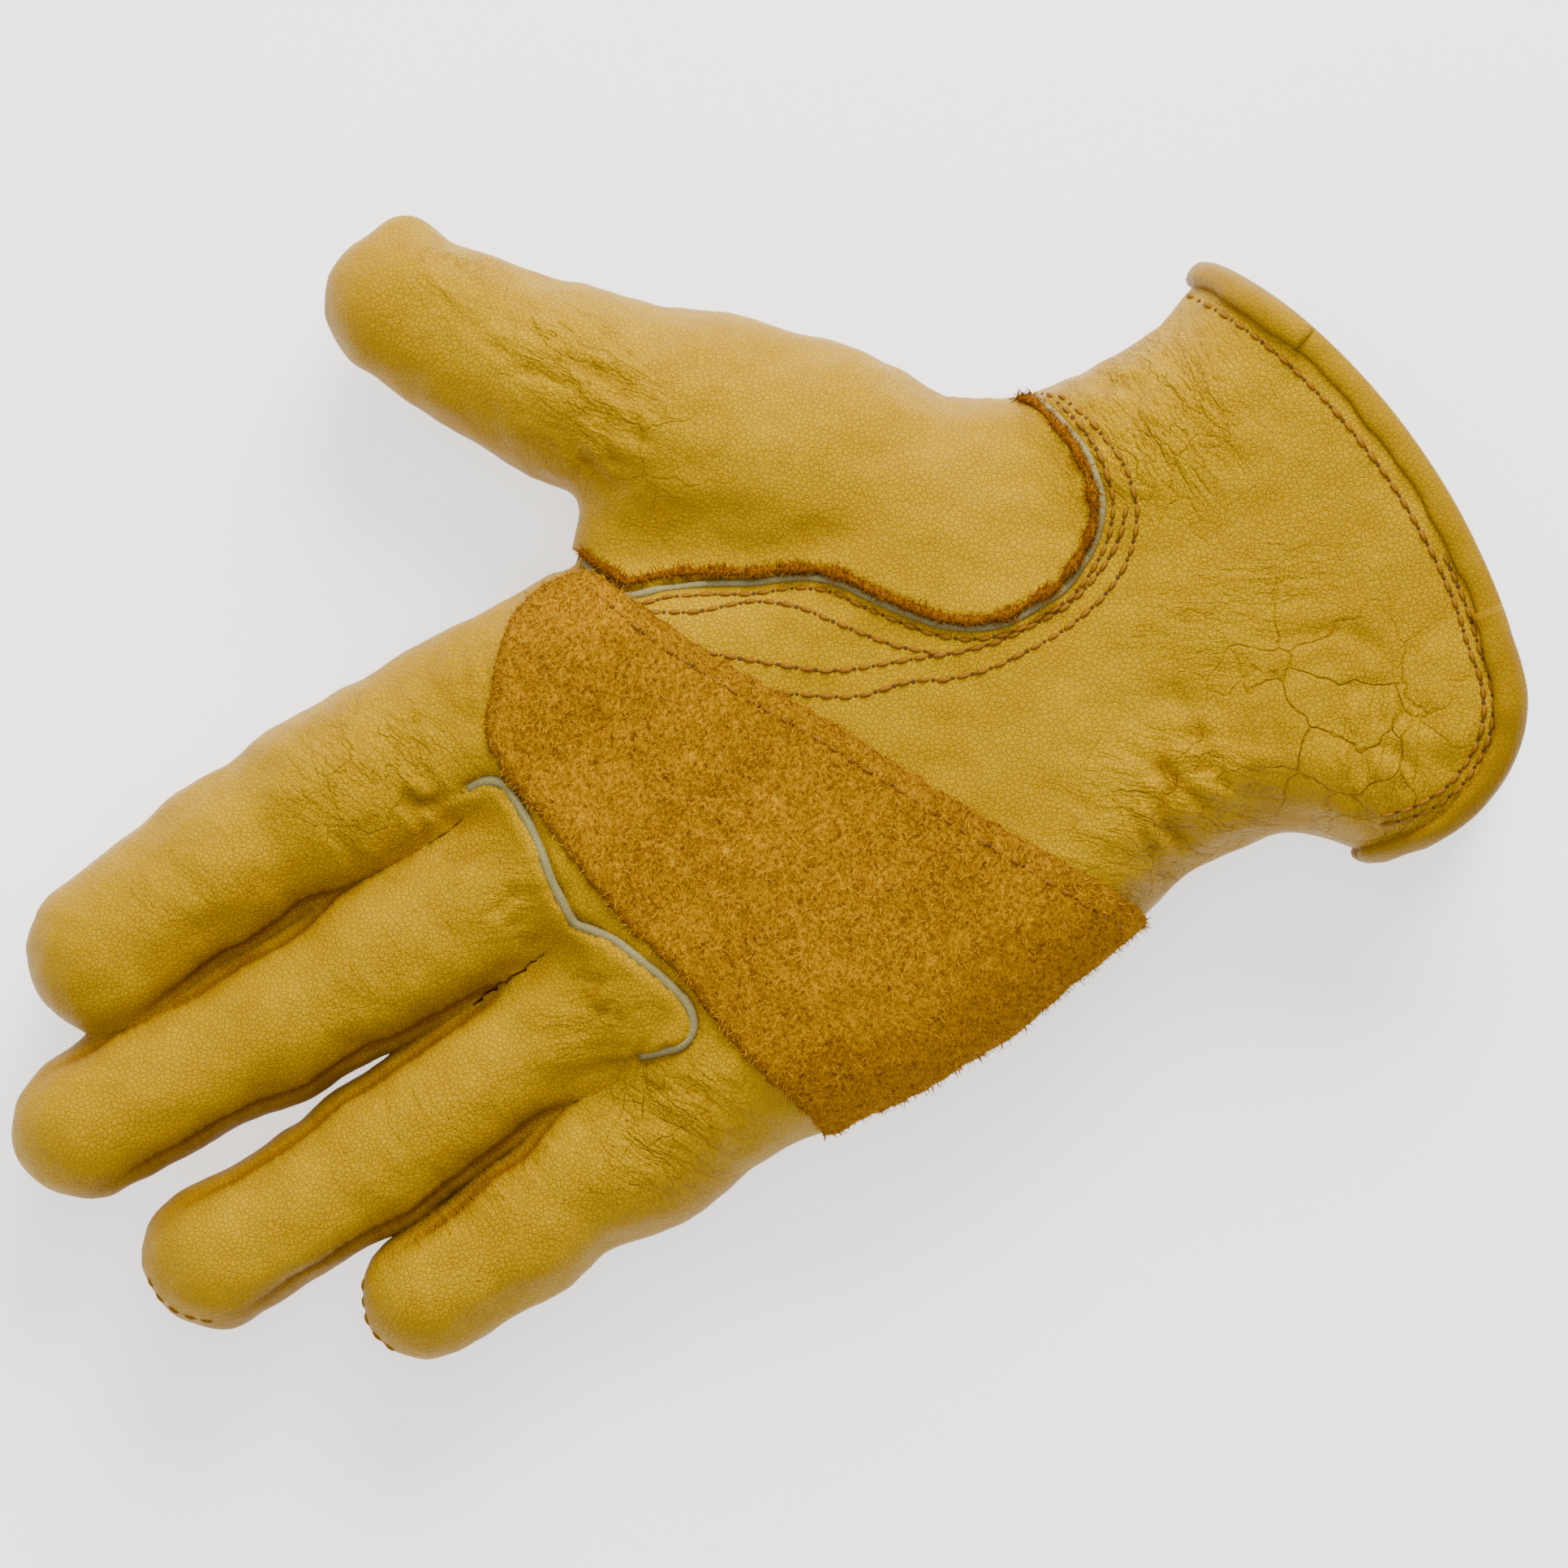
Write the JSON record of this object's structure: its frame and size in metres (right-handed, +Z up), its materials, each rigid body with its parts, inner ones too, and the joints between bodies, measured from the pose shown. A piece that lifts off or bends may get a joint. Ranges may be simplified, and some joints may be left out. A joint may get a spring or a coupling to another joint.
{
  "type": "leather work glove",
  "caption": "Right-hand leather work glove with bending fingers and thumb, suede palm patch, piped seams and a bound, flared cuff.",
  "frame": {"origin": "under the middle of the glove, on the plane it rests on", "axes": "+Y from the cuff to the fingertips, +X to the thumb's side, +Z up, out of the palm"},
  "size_m": [0.1674, 0.2473, 0.0449],
  "materials": {
    "grain_leather": "pebbled, softly glossy golden grain leather",
    "binding_leather": "thin grain leather rolled over the hem",
    "suede": "matt rust suede with a short nap",
    "welt_piping": "thin grey-white piping in the seams",
    "sewing_thread": "ochre twisted sewing thread",
    "elastic_webbing": "woven flat elastic"
  },
  "bodies": {
    "palm": {"back_panel": "grain_leather", "cuff_binding_back": "binding_leather", "cuff_binding_little": "binding_leather", "cuff_binding_middle": "binding_leather", "cuff_binding_thumb": "binding_leather", "cuff_stitching": "sewing_thread", "finger_welt": "welt_piping", "palm_panel": "grain_leather", "palm_patch": "suede", "patch_stitching": "sewing_thread", "thumb_stitching": "sewing_thread", "thumb_welt": "welt_piping", "wrist_elastic": "elastic_webbing"},
    "index_lower": {"index_lower_back": "grain_leather", "index_lower_front": "grain_leather", "index_lower_inner_strip": "grain_leather", "index_lower_outer_strip": "grain_leather"},
    "index_upper": {"index_upper_back": "grain_leather", "index_upper_front": "grain_leather", "index_upper_strip": "grain_leather"},
    "middle_lower": {"middle_lower_back": "grain_leather", "middle_lower_front": "grain_leather", "middle_lower_inner_strip": "grain_leather", "middle_lower_outer_strip": "grain_leather"},
    "middle_upper": {"middle_upper_back": "grain_leather", "middle_upper_front": "grain_leather", "middle_upper_strip": "grain_leather"},
    "ring_lower": {"ring_lower_back": "grain_leather", "ring_lower_front": "grain_leather", "ring_lower_inner_strip": "grain_leather", "ring_lower_outer_strip": "grain_leather"},
    "ring_upper": {"ring_upper_back": "grain_leather", "ring_upper_front": "grain_leather", "ring_upper_strip": "grain_leather"},
    "little_lower": {"little_lower_back": "grain_leather", "little_lower_front": "grain_leather", "little_lower_inner_strip": "grain_leather", "little_lower_outer_strip": "grain_leather"},
    "little_upper": {"little_upper_back": "grain_leather", "little_upper_front": "grain_leather", "little_upper_strip": "grain_leather"},
    "thumb_lower": {"thumb_lower_back": "grain_leather", "thumb_lower_front": "grain_leather", "thumb_lower_inner_strip": "grain_leather", "thumb_lower_outer_strip": "grain_leather"},
    "thumb_upper": {"thumb_upper_back": "grain_leather", "thumb_upper_front": "grain_leather", "thumb_upper_strip": "grain_leather"}
  },
  "joints": [
    {"name": "index_knuckle", "type": "hinge", "parent": "palm", "child": "index_lower", "pos_m": [0.0089, 0.037, 0.015], "axis": [1, 0, 0], "range_deg": [-10, 60]},
    {"name": "index_middle_bend", "type": "hinge", "parent": "index_lower", "child": "index_upper", "pos_m": [0.0089, 0.073, 0.015], "axis": [1, 0, 0], "range_deg": [0, 70]},
    {"name": "middle_knuckle", "type": "hinge", "parent": "palm", "child": "middle_lower", "pos_m": [-0.0161, 0.037, 0.015], "axis": [1, 0, 0], "range_deg": [-10, 60]},
    {"name": "middle_middle_bend", "type": "hinge", "parent": "middle_lower", "child": "middle_upper", "pos_m": [-0.0161, 0.079, 0.015], "axis": [1, 0, 0], "range_deg": [0, 70]},
    {"name": "ring_knuckle", "type": "hinge", "parent": "palm", "child": "ring_lower", "pos_m": [-0.0398, 0.037, 0.015], "axis": [1, 0, 0], "range_deg": [-10, 60]},
    {"name": "ring_middle_bend", "type": "hinge", "parent": "ring_lower", "child": "ring_upper", "pos_m": [-0.0398, 0.075, 0.015], "axis": [1, 0, 0], "range_deg": [0, 70]},
    {"name": "little_knuckle", "type": "hinge", "parent": "palm", "child": "little_lower", "pos_m": [-0.0616, 0.034, 0.015], "axis": [1, 0, 0], "range_deg": [-10, 60]},
    {"name": "little_middle_bend", "type": "hinge", "parent": "little_lower", "child": "little_upper", "pos_m": [-0.0616, 0.06, 0.015], "axis": [1, 0, 0], "range_deg": [0, 70]},
    {"name": "thumb_root_lift", "type": "hinge", "parent": "palm", "child": "thumb_lower", "pos_m": [0.03, -0.028, 0.018], "axis": [0.5976, -0.8018, 0], "range_deg": [-8, 40]},
    {"name": "thumb_middle_bend", "type": "hinge", "parent": "thumb_lower", "child": "thumb_upper", "pos_m": [0.05726, -0.00768, 0.018], "axis": [0.5976, -0.8018, 0], "range_deg": [0, 60]}
  ]
}
